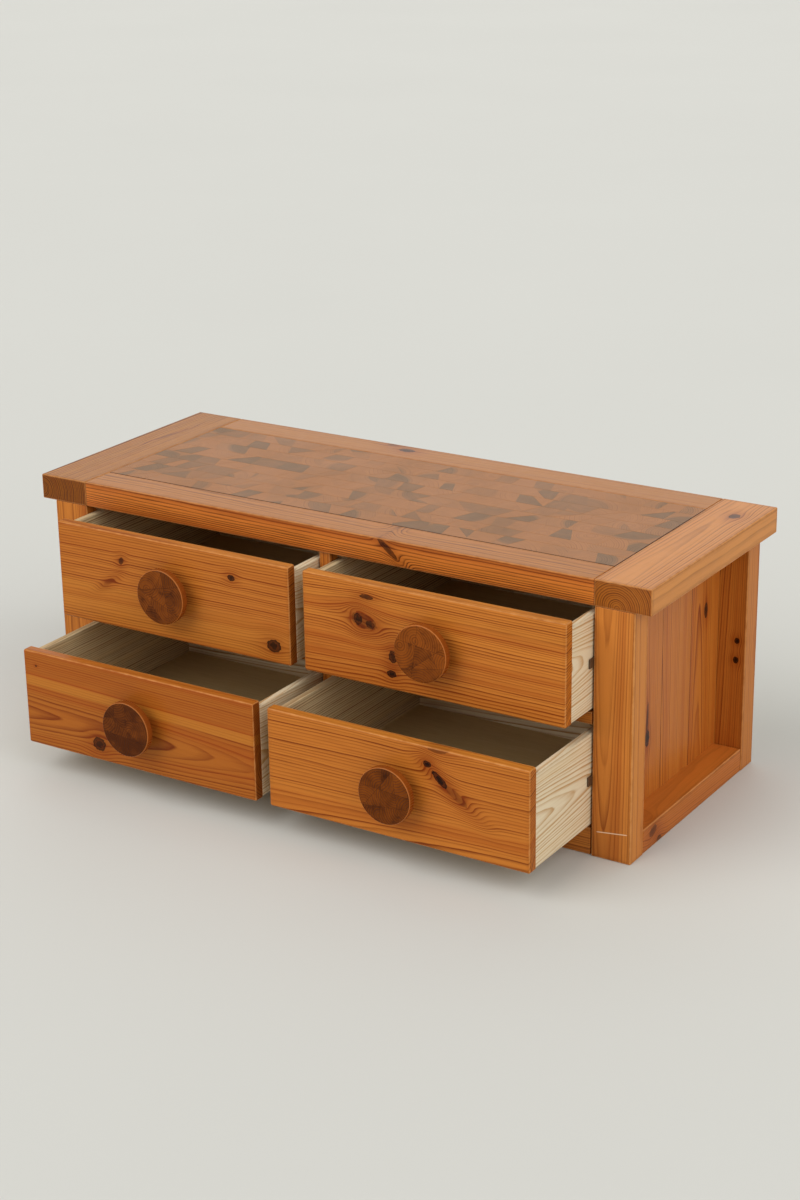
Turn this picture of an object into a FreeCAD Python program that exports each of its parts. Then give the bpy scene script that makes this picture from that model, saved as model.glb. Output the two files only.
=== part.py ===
"""Lowboy in solid pine: a low chest with two columns of two drawers under a framed end-grain top.

Millimetres, +Z up. The origin is on the floor at the centre of the case, the front faces -Y and
the drawers stand partly open at rest: the two upper ones less, the two lower ones further.
"""
import FreeCAD
import Part
import os

# overall size of the case
WIDTH = 1200.0
DEPTH = 465.0
HEIGHT = 470.0

# top frame
TOP_THICK = 44.0
END_BOARD_WIDTH = 99.0
TOP_RAIL_WIDTH = 68.0
BLOCK_THICK = 18.0
BLOCK_JOINT = 0.4
SUPPORT_THICK = 12.0
FRAME_GROOVE = 10.0
TONGUE_STOP = 14.0

# posts and the tenons that hold them in the end boards
POST_WIDTH = 70.0
POST_DEPTH = 45.0
TOP_OVERHANG_SIDE = 28.0
POST_REVEAL = 1.0
TENON_HEIGHT = 20.0
TENON_SHOULDER = 12.0

# sides of the case
SIDE_BOARD_THICK = 16.0
SIDE_BOARD_WIDTH = 107.0
SIDE_BOARD_INSET = 51.0
SIDE_BOARD_GROOVE = 8.0
SIDE_RAIL_HEIGHT = 42.0
SIDE_RAIL_INSET = 1.0
SIDE_RAIL_GAP = 0.8

# rails, bearer, partition and back
TOE_RAIL_HEIGHT = 47.0
TOE_RAIL_THICK = 22.0
MID_RAIL_THICK = 21.0
RAIL_SETBACK = 2.0
RAIL_END_GAP = 2.5
STUB_TENON = 10.0
SHORT_TENON = 6.0
STUB_SHOULDER = 5.0
CENTRE_POST_WIDTH = 21.0
CENTRE_POST_DEPTH = 45.0
BACK_PANEL_THICK = 5.0
BACK_PANEL_REBATE = 8.0
BACK_PANEL_LIFT = 8.0

# drawers
DRAWER_GAP = 3.0
FRONT_SETBACK = 1.0
FRONT_THICK = 19.0
BOX_SIDE_THICK = 13.0
BOX_DROP = 11.0
BOX_LIFT = 3.5
BOX_TONGUE = 7.0
BOX_TONGUE_THICK = 6.0
BOX_BACK_THICK = 12.0
BOX_BACK_REBATE = 4.0
BOX_BACK_CLEARANCE = 3.0
BOTTOM_THICK = 5.0
BOTTOM_LIFT = 12.0
BOTTOM_GROOVE = 5.0
UPPER_OPEN = 85.0
LOWER_OPEN = 195.0

# runners under the drawer sides, kickers over them and thin guides beside them
RUNNER_WIDTH = 18.0
RUNNER_HEIGHT = 27.0
RUNNER_PLAY = 0.3
KICKER_PLAY = 1.0
GUIDE_THICK = 2.5
GUIDE_HEIGHT = 16.0
GUIDE_NOSE = 12.0
GUIDE_INSET = 5.0
SCREW_RADIUS = 1.6
SCREW_HEAD_RADIUS = 3.4
SCREW_HEAD_HEIGHT = 2.5
SCREW_BITE = 9.0
SCREW_INSET = 12.0
HOLE_PLAY = 0.1

# knobs
KNOB_RADIUS = 48.0
KNOB_THICK = 14.0
KNOB_NECK_RADIUS = 27.0
KNOB_NECK_LENGTH = 18.0
KNOB_SCREW_RADIUS = 2.5
KNOB_SCREW_HEAD_RADIUS = 5.0
KNOB_SCREW_HEAD_HEIGHT = 3.0
KNOB_SCREW_BITE = 22.0

# nails of the back panel
NAIL_RADIUS = 0.9
NAIL_LENGTH = 14.0
NAIL_HEAD_RADIUS = 2.2
NAIL_HEAD_HEIGHT = 0.8
NAILS_ALONG_RAIL = 6
NAILS_ALONG_POST = 3
NAIL_END_INSET = 60.0

# rounding of the edges
FRAME_EASE = 2.0
BOARD_EASE = 0.6
FRONT_EASE = 4.0
FRONT_BACK_EASE = 1.2
BOX_EASE = 1.2
KNOB_RIM_EASE = 2.5
KNOB_BACK_EASE = 2.0

# planes of the case
FRONT_Y = -DEPTH / 2
BACK_Y = DEPTH / 2
CASE_TOP = HEIGHT - TOP_THICK
BLOCK_BED = HEIGHT - BLOCK_THICK
SUPPORT_BED = BLOCK_BED - SUPPORT_THICK
FRAME_X = WIDTH / 2 - END_BOARD_WIDTH
FRAME_Y = DEPTH / 2 - TOP_RAIL_WIDTH
POST_OUT = WIDTH / 2 - TOP_OVERHANG_SIDE
POST_IN = POST_OUT - POST_WIDTH
POST_FRONT = FRONT_Y + POST_REVEAL
POST_BACK = BACK_Y - POST_REVEAL
FRONT_POST_REAR = POST_FRONT + POST_DEPTH
BACK_POST_FACE = POST_BACK - POST_DEPTH
BOARD_OUT = POST_OUT - SIDE_BOARD_INSET
BOARD_IN = BOARD_OUT - SIDE_BOARD_THICK
BOARD_FOOT = SIDE_RAIL_HEIGHT - SIDE_BOARD_GROOVE
BOARD_HEAD = CASE_TOP + SIDE_BOARD_GROOVE
RAIL_FRONT = POST_FRONT + RAIL_SETBACK
TOE_REAR = RAIL_FRONT + TOE_RAIL_THICK
PANEL_FACE = POST_BACK - BACK_PANEL_THICK
BACK_RAIL_FACE = PANEL_FACE - TOE_RAIL_THICK
CENTRE_X = CENTRE_POST_WIDTH / 2
CENTRE_REAR = RAIL_FRONT + CENTRE_POST_DEPTH

# planes of the drawers when shut
FRONT_HEIGHT = (CASE_TOP - TOE_RAIL_HEIGHT - MID_RAIL_THICK - 4 * DRAWER_GAP) / 2
LOWER_Z = TOE_RAIL_HEIGHT + DRAWER_GAP
MID_RAIL_Z = LOWER_Z + FRONT_HEIGHT + DRAWER_GAP
UPPER_Z = MID_RAIL_Z + MID_RAIL_THICK + DRAWER_GAP
BOX_HEIGHT = FRONT_HEIGHT - BOX_DROP - BOX_LIFT
DRAWER_X0 = CENTRE_X + DRAWER_GAP
DRAWER_X1 = POST_IN - DRAWER_GAP
BOX_X0 = DRAWER_X0 + BOX_SIDE_THICK
BOX_X1 = DRAWER_X1 - BOX_SIDE_THICK
KNOB_X = (DRAWER_X0 + DRAWER_X1) / 2
DRAWER_FACE = POST_FRONT + FRONT_SETBACK
FRONT_REAR = DRAWER_FACE + FRONT_THICK
BOX_REAR = PANEL_FACE - BOX_BACK_CLEARANCE

# levels of the strips screwed along the posts and the partition
LOWER_BOX_Z = LOWER_Z + BOX_LIFT
UPPER_BOX_Z = UPPER_Z + BOX_LIFT
STRIPS = {
    "runners_lower": (LOWER_BOX_Z - RUNNER_PLAY - RUNNER_HEIGHT, LOWER_BOX_Z - RUNNER_PLAY),
    "runners_upper": (LOWER_BOX_Z + BOX_HEIGHT + KICKER_PLAY, UPPER_BOX_Z - RUNNER_PLAY),
    "kickers": (UPPER_BOX_Z + BOX_HEIGHT + KICKER_PLAY, CASE_TOP),
}
ROWS = {"upper": (UPPER_Z, UPPER_OPEN), "lower": (LOWER_Z, LOWER_OPEN)}
COLUMNS = {"left": -1, "right": 1}


def block(x0, x1, y0, y1, z0, z1):
    """Plain box between two corners, given in any order."""
    low = FreeCAD.Vector(min(x0, x1), min(y0, y1), min(z0, z1))
    return Part.makeBox(abs(x1 - x0), abs(y1 - y0), abs(z1 - z0), low)


def eased(shape, radius):
    """A plain board with every edge rounded to one radius."""
    return shape.makeFillet(radius, shape.Edges)


def edges_across(shape, axis, value):
    """Edges that lie wholly in one plane across an axis."""
    found = []
    for edge in shape.Edges:
        places = [getattr(vertex.Point, axis) for vertex in edge.Vertexes]
        if max(abs(place - value) for place in places) < 1e-6:
            found.append(edge)
    return found


def rod(centre, direction, radius, length):
    """Cylinder from a centre point along a direction."""
    return Part.makeCylinder(radius, length, FreeCAD.Vector(*centre), FreeCAD.Vector(*direction))


def side_of(shape, sign):
    """The right-hand shape itself, or its mirror image for the left-hand half."""
    if sign > 0:
        return shape
    return shape.mirror(FreeCAD.Vector(0, 0, 0), FreeCAD.Vector(1, 0, 0))


def joined(shape, *additions):
    """One solid out of a board and the tongues or tenons worked on it."""
    for addition in additions:
        shape = shape.fuse(addition)
    return shape.removeSplitter()


def without(shape, *spaces):
    """A board with the spaces of its neighbours cut out of it."""
    for space in spaces:
        shape = shape.cut(space)
    return shape


# ---- joints of the case, drawn once and used by both of the pieces that meet

def frame_groove(x0, x1, y0, y1):
    """Space inside the top frame for the support panel's edge or a rail's tongue."""
    return block(x0, x1, y0, y1, SUPPORT_BED, BLOCK_BED)


def post_tenon(y0):
    """Tenon on top of the right-hand post whose front face is at y0."""
    return block(POST_IN + TENON_SHOULDER, POST_OUT - TENON_SHOULDER,
                 y0 + TENON_SHOULDER, y0 + POST_DEPTH - TENON_SHOULDER,
                 CASE_TOP, CASE_TOP + TENON_HEIGHT)


def side_board_space():
    """Slab of the right-hand side boards, with their edges housed in posts, rail and top."""
    return block(BOARD_IN, BOARD_OUT, FRONT_POST_REAR - SIDE_BOARD_GROOVE,
                 BACK_POST_FACE + SIDE_BOARD_GROOVE, BOARD_FOOT, BOARD_HEAD)


def side_rail_tenons():
    """Tenons at both ends of the right-hand bottom side rail, across its end gaps."""
    x0 = BOARD_OUT + STUB_SHOULDER
    x1 = POST_OUT - SIDE_RAIL_INSET - TENON_SHOULDER
    z1 = SIDE_RAIL_HEIGHT - TENON_SHOULDER
    front = block(x0, x1, FRONT_POST_REAR - STUB_TENON, FRONT_POST_REAR + SIDE_RAIL_GAP,
                  STUB_SHOULDER, z1)
    back = block(x0, x1, BACK_POST_FACE - SIDE_RAIL_GAP, BACK_POST_FACE + STUB_TENON,
                 STUB_SHOULDER, z1)
    return front, back


def cross_rail_tenon(x0, x1, y0, y1, z0, z1):
    """Stub tenon between x0 and x1 on the end of a rail with the section y0..y1, z0..z1."""
    return block(x0, x1, y0 + STUB_SHOULDER, y1 - STUB_SHOULDER,
                 z0 + STUB_SHOULDER, z1 - STUB_SHOULDER)


def toe_rail_tenon():
    """Right-hand tenon of the toe rail."""
    return cross_rail_tenon(POST_IN - RAIL_END_GAP, POST_IN + STUB_TENON,
                            RAIL_FRONT, TOE_REAR, 0, TOE_RAIL_HEIGHT)


def back_rail_tenon():
    """Right-hand tenon of the back rail."""
    return cross_rail_tenon(POST_IN, POST_IN + STUB_TENON,
                            BACK_RAIL_FACE, PANEL_FACE, 0, TOE_RAIL_HEIGHT)


def mid_rail_tenon(x0, x1):
    """Tenon of a mid rail between two levels of x."""
    return cross_rail_tenon(x0, x1, RAIL_FRONT, TOE_REAR, MID_RAIL_Z, MID_RAIL_Z + MID_RAIL_THICK)


def mid_rail_centre_tenon():
    """Short tenon of the right-hand mid rail into the centre post."""
    return mid_rail_tenon(CENTRE_X - SHORT_TENON, CENTRE_X + RAIL_END_GAP)


def mid_rail_post_tenon():
    """Tenon of the right-hand mid rail into the front post."""
    return mid_rail_tenon(POST_IN - RAIL_END_GAP, POST_IN + STUB_TENON)


def bearer_tenons():
    """Tenons of the middle bearer into the toe rail and the back rail."""
    half = CENTRE_X - STUB_SHOULDER
    z1 = TOE_RAIL_HEIGHT - STUB_SHOULDER
    front = block(-half, half, TOE_REAR - SHORT_TENON, TOE_REAR, STUB_SHOULDER, z1)
    back = block(-half, half, BACK_RAIL_FACE, BACK_RAIL_FACE + SHORT_TENON, STUB_SHOULDER, z1)
    return front, back


def back_panel_space():
    """Slab of the back panel, housed in rebates of the back posts."""
    reach = POST_IN + BACK_PANEL_REBATE
    return block(-reach, reach, PANEL_FACE, POST_BACK, BACK_PANEL_LIFT, CASE_TOP)


# ---- screws of the runners and kickers

def screw_places():
    """Y and Z of the screws, one through each strip at the front and one at the back."""
    places = []
    for low, high in STRIPS.values():
        for y in (FRONT_POST_REAR - SCREW_INSET, BACK_POST_FACE + SCREW_INSET):
            places.append((y, (low + high) / 2))
    return places


def strip_screw(y, z, wall, toward, play=0.0):
    """Screw into a wall at x, its head flush in the strip; with play, the hole around it."""
    start = (wall - toward * RUNNER_WIDTH, y, z)
    head = rod(start, (toward, 0, 0), SCREW_HEAD_RADIUS + play, SCREW_HEAD_HEIGHT)
    shank = rod(start, (toward, 0, 0), SCREW_RADIUS + play, RUNNER_WIDTH + SCREW_BITE + play)
    return joined(head, shank)


def strip_screws(wall, toward, play=0.0):
    """All the screws that go into one wall."""
    return [strip_screw(y, z, wall, toward, play) for y, z in screw_places()]


def centre_screws(play=0.0):
    """Screws into both faces of the centre post, the partition and the bearer."""
    return strip_screws(CENTRE_X, -1, play) + strip_screws(-CENTRE_X, 1, play)


# ---- nails of the back panel

def nail_places():
    """X and Z of the nails: a row along the back rail and a column up each back post."""
    places = []
    reach = POST_IN - NAIL_END_INSET
    for step in range(NAILS_ALONG_RAIL):
        x = -reach + 2 * reach * step / (NAILS_ALONG_RAIL - 1)
        places.append((x, (BACK_PANEL_LIFT + TOE_RAIL_HEIGHT) / 2))
    low = TOE_RAIL_HEIGHT + NAIL_END_INSET
    high = CASE_TOP - NAIL_END_INSET
    for step in range(NAILS_ALONG_POST):
        z = low + (high - low) * step / (NAILS_ALONG_POST - 1)
        for sign in COLUMNS.values():
            places.append((sign * (POST_IN + BACK_PANEL_REBATE / 2), z))
    return places


def nail(x, z, play=0.0):
    """Nail driven in from the back, its head on the panel; with play, the hole around it."""
    head = rod((x, POST_BACK, z), (0, 1, 0), NAIL_HEAD_RADIUS + play, NAIL_HEAD_HEIGHT)
    shank = rod((x, POST_BACK, z), (0, -1, 0), NAIL_RADIUS + play, NAIL_LENGTH + play)
    return joined(head, shank)


def nails(play=0.0):
    """All the nails of the back panel."""
    return [nail(x, z, play) for x, z in nail_places()]


# ---- the top

def top_end_board(sign):
    """End board of the top, its full depth, with mortises for two posts below."""
    board = eased(block(FRAME_X, WIDTH / 2, FRONT_Y, BACK_Y, CASE_TOP, HEIGHT), FRAME_EASE)
    reach = DEPTH / 2 - TONGUE_STOP
    board = without(board, frame_groove(FRAME_X, FRAME_X + FRAME_GROOVE, -reach, reach),
                    post_tenon(POST_FRONT), post_tenon(BACK_POST_FACE), side_board_space())
    return side_of(board, sign)


def top_rail(sign):
    """Rail along the front (-1) or the back (+1) of the top, tongued into the end boards."""
    rail = block(-FRAME_X, FRAME_X, sign * FRAME_Y, sign * DEPTH / 2, CASE_TOP, HEIGHT)
    inner = sign * (FRAME_Y + FRAME_GROOVE)
    rail = eased(rail, FRAME_EASE)
    rail = without(rail, frame_groove(-FRAME_X, FRAME_X, sign * FRAME_Y, inner))
    outer = sign * (DEPTH / 2 - TONGUE_STOP)
    right = frame_groove(FRAME_X, FRAME_X + FRAME_GROOVE, inner, outer)
    left = frame_groove(-FRAME_X, -FRAME_X - FRAME_GROOVE, inner, outer)
    return joined(rail, right, left)


def top_support_panel():
    """Panel in the groove of the frame that carries the end-grain blocks."""
    x = FRAME_X + FRAME_GROOVE
    y = FRAME_Y + FRAME_GROOVE
    return frame_groove(-x, x, -y, y)


def top_endgrain_panel():
    """Panel of end-grain blocks, flush with the frame."""
    x = FRAME_X - BLOCK_JOINT
    y = FRAME_Y - BLOCK_JOINT
    return eased(block(-x, x, -y, y, BLOCK_BED, HEIGHT), BOARD_EASE)


# ---- the case

def post(y0, sign, *spaces):
    """Corner post with its front face at y0, tenoned into the top and cut for its neighbours."""
    shaft = eased(block(POST_IN, POST_OUT, y0, y0 + POST_DEPTH, 0, CASE_TOP), FRAME_EASE)
    shaft = joined(shaft, post_tenon(y0))
    cuts = [side_board_space(), *side_rail_tenons(), *strip_screws(POST_IN, 1, HOLE_PLAY), *spaces]
    return side_of(without(shaft, *cuts), sign)


def front_post(sign):
    """Front post, mortised for the toe rail and the mid rail."""
    return post(POST_FRONT, sign, toe_rail_tenon(), mid_rail_post_tenon())


def back_post(sign):
    """Back post, mortised for the back rail and rebated for the back panel."""
    return post(BACK_POST_FACE, sign, back_rail_tenon(), back_panel_space(), *nails(HOLE_PLAY))


def side_boards(sign):
    """Vertical boards between two posts, each a piece of its own."""
    space = side_board_space().BoundBox
    boards = []
    rear = space.YMax
    joint = BACK_POST_FACE - SIDE_BOARD_WIDTH
    while rear > space.YMin:
        front = max(joint, space.YMin)
        board = block(space.XMin, space.XMax, front, rear, space.ZMin, space.ZMax)
        boards.append(side_of(eased(board, BOARD_EASE), sign))
        rear = front
        joint = front - SIDE_BOARD_WIDTH
    return Part.makeCompound(boards)


def bottom_side_rail(sign):
    """Rail on the floor between two posts, grooved for the side boards."""
    rail = block(POST_IN, POST_OUT - SIDE_RAIL_INSET, FRONT_POST_REAR + SIDE_RAIL_GAP,
                 BACK_POST_FACE - SIDE_RAIL_GAP, 0, SIDE_RAIL_HEIGHT)
    rail = joined(eased(rail, FRAME_EASE), *side_rail_tenons())
    return side_of(without(rail, side_board_space()), sign)


def toe_rail():
    """Front rail on the floor, short of the posts by a thin gap and tenoned into them."""
    reach = POST_IN - RAIL_END_GAP
    rail = eased(block(-reach, reach, RAIL_FRONT, TOE_REAR, 0, TOE_RAIL_HEIGHT), FRAME_EASE)
    rail = joined(rail, toe_rail_tenon(), side_of(toe_rail_tenon(), -1))
    return without(rail, bearer_tenons()[0])


def mid_rail(sign):
    """Rail between an upper and a lower drawer, from the centre post to a front post."""
    rail = block(CENTRE_X + RAIL_END_GAP, POST_IN - RAIL_END_GAP, RAIL_FRONT, TOE_REAR,
                 MID_RAIL_Z, MID_RAIL_Z + MID_RAIL_THICK)
    rail = joined(eased(rail, FRAME_EASE), mid_rail_centre_tenon(), mid_rail_post_tenon())
    return side_of(rail, sign)


def centre_post():
    """Narrow post between the two columns of drawers."""
    shaft = block(-CENTRE_X, CENTRE_X, RAIL_FRONT, CENTRE_REAR, TOE_RAIL_HEIGHT, CASE_TOP)
    tenon = mid_rail_centre_tenon()
    return without(eased(shaft, FRAME_EASE), tenon, side_of(tenon, -1), *centre_screws(HOLE_PLAY))


def partition():
    """Board behind the centre post, with a raised middle under the support panel."""
    board = block(-CENTRE_X, CENTRE_X, CENTRE_REAR, PANEL_FACE, TOE_RAIL_HEIGHT, CASE_TOP)
    crown = block(-CENTRE_X, CENTRE_X, -FRAME_Y, FRAME_Y, CASE_TOP, SUPPORT_BED)
    return without(joined(board, crown), *centre_screws(HOLE_PLAY))


def middle_bearer():
    """Bearer on the floor under the partition, from the toe rail to the back rail."""
    board = block(-CENTRE_X, CENTRE_X, TOE_REAR, BACK_RAIL_FACE, 0, TOE_RAIL_HEIGHT)
    return without(joined(board, *bearer_tenons()), *centre_screws(HOLE_PLAY))


def back_rail():
    """Rail on the floor between the back posts, that the back panel is nailed to."""
    rail = block(-POST_IN, POST_IN, BACK_RAIL_FACE, PANEL_FACE, 0, TOE_RAIL_HEIGHT)
    rail = joined(rail, back_rail_tenon(), side_of(back_rail_tenon(), -1))
    return without(rail, bearer_tenons()[1], *nails(HOLE_PLAY))


def back_panel():
    """Thin panel across the back, behind the drawers."""
    return without(back_panel_space(), *nails(HOLE_PLAY))


# ---- runners, kickers and guides

def strip(x0, x1, low, high, holes):
    """One strip along the case, from the front rails to the back rail."""
    return without(eased(block(x0, x1, TOE_REAR, BACK_RAIL_FACE, low, high), BOARD_EASE), *holes)


def strip_pair(kind, sign):
    """Strip on the posts and strip on the partition, at one level of one column."""
    low, high = STRIPS[kind]
    outer = strip(POST_IN - RUNNER_WIDTH, POST_IN, low, high, strip_screws(POST_IN, 1, HOLE_PLAY))
    inner = strip(CENTRE_X, CENTRE_X + RUNNER_WIDTH, low, high, strip_screws(CENTRE_X, -1, HOLE_PLAY))
    return Part.makeCompound([side_of(outer, sign), side_of(inner, sign)])


def all_strip_screws():
    """Screws of the runners and the kickers."""
    outer = strip_screws(POST_IN, 1)
    return Part.makeCompound(outer + [side_of(one, -1) for one in outer] + centre_screws())


def side_guides():
    """Thin strips glued on the posts beside the drawers, with a nose out in front."""
    guides = []
    for row_z, _ in ROWS.values():
        low = row_z + BOX_LIFT + (BOX_HEIGHT - GUIDE_HEIGHT) / 2
        for x in (POST_IN - GUIDE_THICK, CENTRE_X):
            guide = block(x, x + GUIDE_THICK, POST_FRONT - GUIDE_NOSE, FRONT_POST_REAR - GUIDE_INSET,
                          low, low + GUIDE_HEIGHT)
            guide = eased(guide, BOARD_EASE)
            guides += [guide, side_of(guide, -1)]
    return Part.makeCompound(guides)


# ---- drawers, drawn shut in the right-hand column

def drawer_bottom(row_z):
    """Bottom panel, in grooves of the front and the sides and under the back."""
    z0 = row_z + BOX_LIFT + BOTTOM_LIFT
    return block(BOX_X0 - BOTTOM_GROOVE, BOX_X1 + BOTTOM_GROOVE,
                 FRONT_REAR - BOTTOM_GROOVE, BOX_REAR, z0, z0 + BOTTOM_THICK)


def box_tongue(row_z, inner_face, outward):
    """Tongue at the front end of a drawer side, housed in the drawer front."""
    z0 = row_z + BOX_LIFT
    return block(inner_face, inner_face + outward * BOX_TONGUE_THICK,
                 FRONT_REAR - BOX_TONGUE, FRONT_REAR, z0 + BOX_EASE, z0 + BOX_HEIGHT - BOX_EASE)


def drawer_back(row_z):
    """Back of the drawer box, standing on the bottom and let into the sides."""
    z0 = row_z + BOX_LIFT
    return block(BOX_X0 - BOX_BACK_REBATE, BOX_X1 + BOX_BACK_REBATE, BOX_REAR - BOX_BACK_THICK,
                 BOX_REAR, z0 + BOTTOM_LIFT + BOTTOM_THICK, z0 + BOX_HEIGHT)


def drawer_side(row_z, inner_face, outward):
    """Side of the drawer box, that slides on a runner."""
    z0 = row_z + BOX_LIFT
    outer_face = inner_face + outward * BOX_SIDE_THICK
    side = block(inner_face, outer_face, FRONT_REAR, BOX_REAR, z0, z0 + BOX_HEIGHT)
    side = joined(eased(side, BOX_EASE), box_tongue(row_z, inner_face, outward))
    return without(side, drawer_bottom(row_z), drawer_back(row_z))


def knob_screw(row_z, play=0.0):
    """Screw from inside the drawer through its front into the knob; with play, its hole."""
    z = row_z + FRONT_HEIGHT / 2
    head = rod((KNOB_X, FRONT_REAR, z), (0, 1, 0), KNOB_SCREW_HEAD_RADIUS, KNOB_SCREW_HEAD_HEIGHT)
    length = FRONT_THICK + KNOB_SCREW_BITE + play
    shank = rod((KNOB_X, FRONT_REAR, z), (0, -1, 0), KNOB_SCREW_RADIUS + play, length)
    return joined(head, shank)


def drawer_front(row_z):
    """Front board with well-rounded front edges, grooved behind for the box."""
    board = block(DRAWER_X0, DRAWER_X1, DRAWER_FACE, FRONT_REAR, row_z, row_z + FRONT_HEIGHT)
    rear = edges_across(board, "y", FRONT_REAR)
    shown = [edge for edge in board.Edges if not any(edge.isSame(other) for other in rear)]
    board = board.makeFillet(FRONT_EASE, shown)
    board = board.makeFillet(FRONT_BACK_EASE, edges_across(board, "y", FRONT_REAR))
    return without(board, drawer_bottom(row_z), box_tongue(row_z, BOX_X0, -1),
                   box_tongue(row_z, BOX_X1, 1), knob_screw(row_z, HOLE_PLAY))


def knob(row_z):
    """Large round knob: a thick disc on a short neck."""
    z = row_z + FRONT_HEIGHT / 2
    back = DRAWER_FACE - KNOB_NECK_LENGTH
    disc = rod((KNOB_X, back, z), (0, -1, 0), KNOB_RADIUS, KNOB_THICK)
    disc = disc.makeFillet(KNOB_RIM_EASE, edges_across(disc, "y", back - KNOB_THICK))
    disc = disc.makeFillet(KNOB_BACK_EASE, edges_across(disc, "y", back))
    neck = rod((KNOB_X, DRAWER_FACE, z), (0, -1, 0), KNOB_NECK_RADIUS, KNOB_NECK_LENGTH)
    return without(joined(disc, neck), knob_screw(row_z, HOLE_PLAY))


def drawer_parts(row_z, opening, sign):
    """The seven pieces of one drawer, pulled out by its opening."""
    left_side, right_side = ("side_left", "side_right") if sign > 0 else ("side_right", "side_left")
    shapes = {
        "front": drawer_front(row_z),
        left_side: drawer_side(row_z, BOX_X0, -1),
        right_side: drawer_side(row_z, BOX_X1, 1),
        "back": drawer_back(row_z),
        "bottom": drawer_bottom(row_z),
        "knob": knob(row_z),
        "knob_screw": knob_screw(row_z),
    }
    placed = {}
    for name, shape in shapes.items():
        piece = side_of(shape, sign)
        piece.translate(FreeCAD.Vector(0, -opening, 0))
        placed[name] = piece
    return placed


def all_parts():
    """Every node of the lowboy by name."""
    parts = {
        "top_front_rail": top_rail(-1),
        "top_back_rail": top_rail(1),
        "top_support_panel": top_support_panel(),
        "top_endgrain_panel": top_endgrain_panel(),
        "toe_rail": toe_rail(),
        "centre_post": centre_post(),
        "partition": partition(),
        "middle_bearer": middle_bearer(),
        "back_rail": back_rail(),
        "back_panel": back_panel(),
        "side_guides": side_guides(),
        "runner_screws": all_strip_screws(),
        "back_nails": Part.makeCompound(nails()),
    }
    for column, sign in COLUMNS.items():
        parts["top_end_board_" + column] = top_end_board(sign)
        parts["front_post_" + column] = front_post(sign)
        parts["back_post_" + column] = back_post(sign)
        parts["side_boards_" + column] = side_boards(sign)
        parts["bottom_side_rail_" + column] = bottom_side_rail(sign)
        parts["mid_rail_" + column] = mid_rail(sign)
        for kind in STRIPS:
            parts["%s_%s" % (kind, column)] = strip_pair(kind, sign)
        for row, (row_z, opening) in ROWS.items():
            for name, shape in drawer_parts(row_z, opening, sign).items():
                parts["drawer_%s_%s_%s" % (row, column, name)] = shape
    return parts


os.makedirs("parts", exist_ok=True)
for node, solid in all_parts().items():
    if len(solid.Solids) == 1:
        solid = solid.Solids[0]
    solid.exportStep("parts/%s.step" % node)
    print("%-34s solids %2d  valid %s  volume %.0f" % (node, len(solid.Solids), solid.isValid(), solid.Volume))
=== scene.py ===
import math
import random

import bmesh
import bpy
from mathutils import Matrix, Vector


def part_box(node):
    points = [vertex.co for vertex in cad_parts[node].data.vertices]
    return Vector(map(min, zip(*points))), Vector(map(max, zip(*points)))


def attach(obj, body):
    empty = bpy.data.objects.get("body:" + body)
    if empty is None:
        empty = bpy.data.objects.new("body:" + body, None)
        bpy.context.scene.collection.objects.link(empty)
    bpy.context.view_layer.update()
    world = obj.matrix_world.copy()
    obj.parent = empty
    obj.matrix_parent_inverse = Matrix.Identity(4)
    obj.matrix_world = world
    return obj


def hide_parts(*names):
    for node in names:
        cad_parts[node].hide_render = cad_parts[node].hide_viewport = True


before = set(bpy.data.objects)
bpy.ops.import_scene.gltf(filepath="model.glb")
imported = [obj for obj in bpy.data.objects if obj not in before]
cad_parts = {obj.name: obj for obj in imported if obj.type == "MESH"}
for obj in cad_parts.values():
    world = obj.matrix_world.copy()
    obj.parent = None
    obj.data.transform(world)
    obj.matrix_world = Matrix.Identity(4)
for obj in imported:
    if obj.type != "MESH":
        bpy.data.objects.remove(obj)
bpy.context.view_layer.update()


# The room: a plain pale floor under the lowboy, wide soft lamps and a pale sky. The lowboy stands on
# the floor on its posts and bottom rails.

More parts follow.
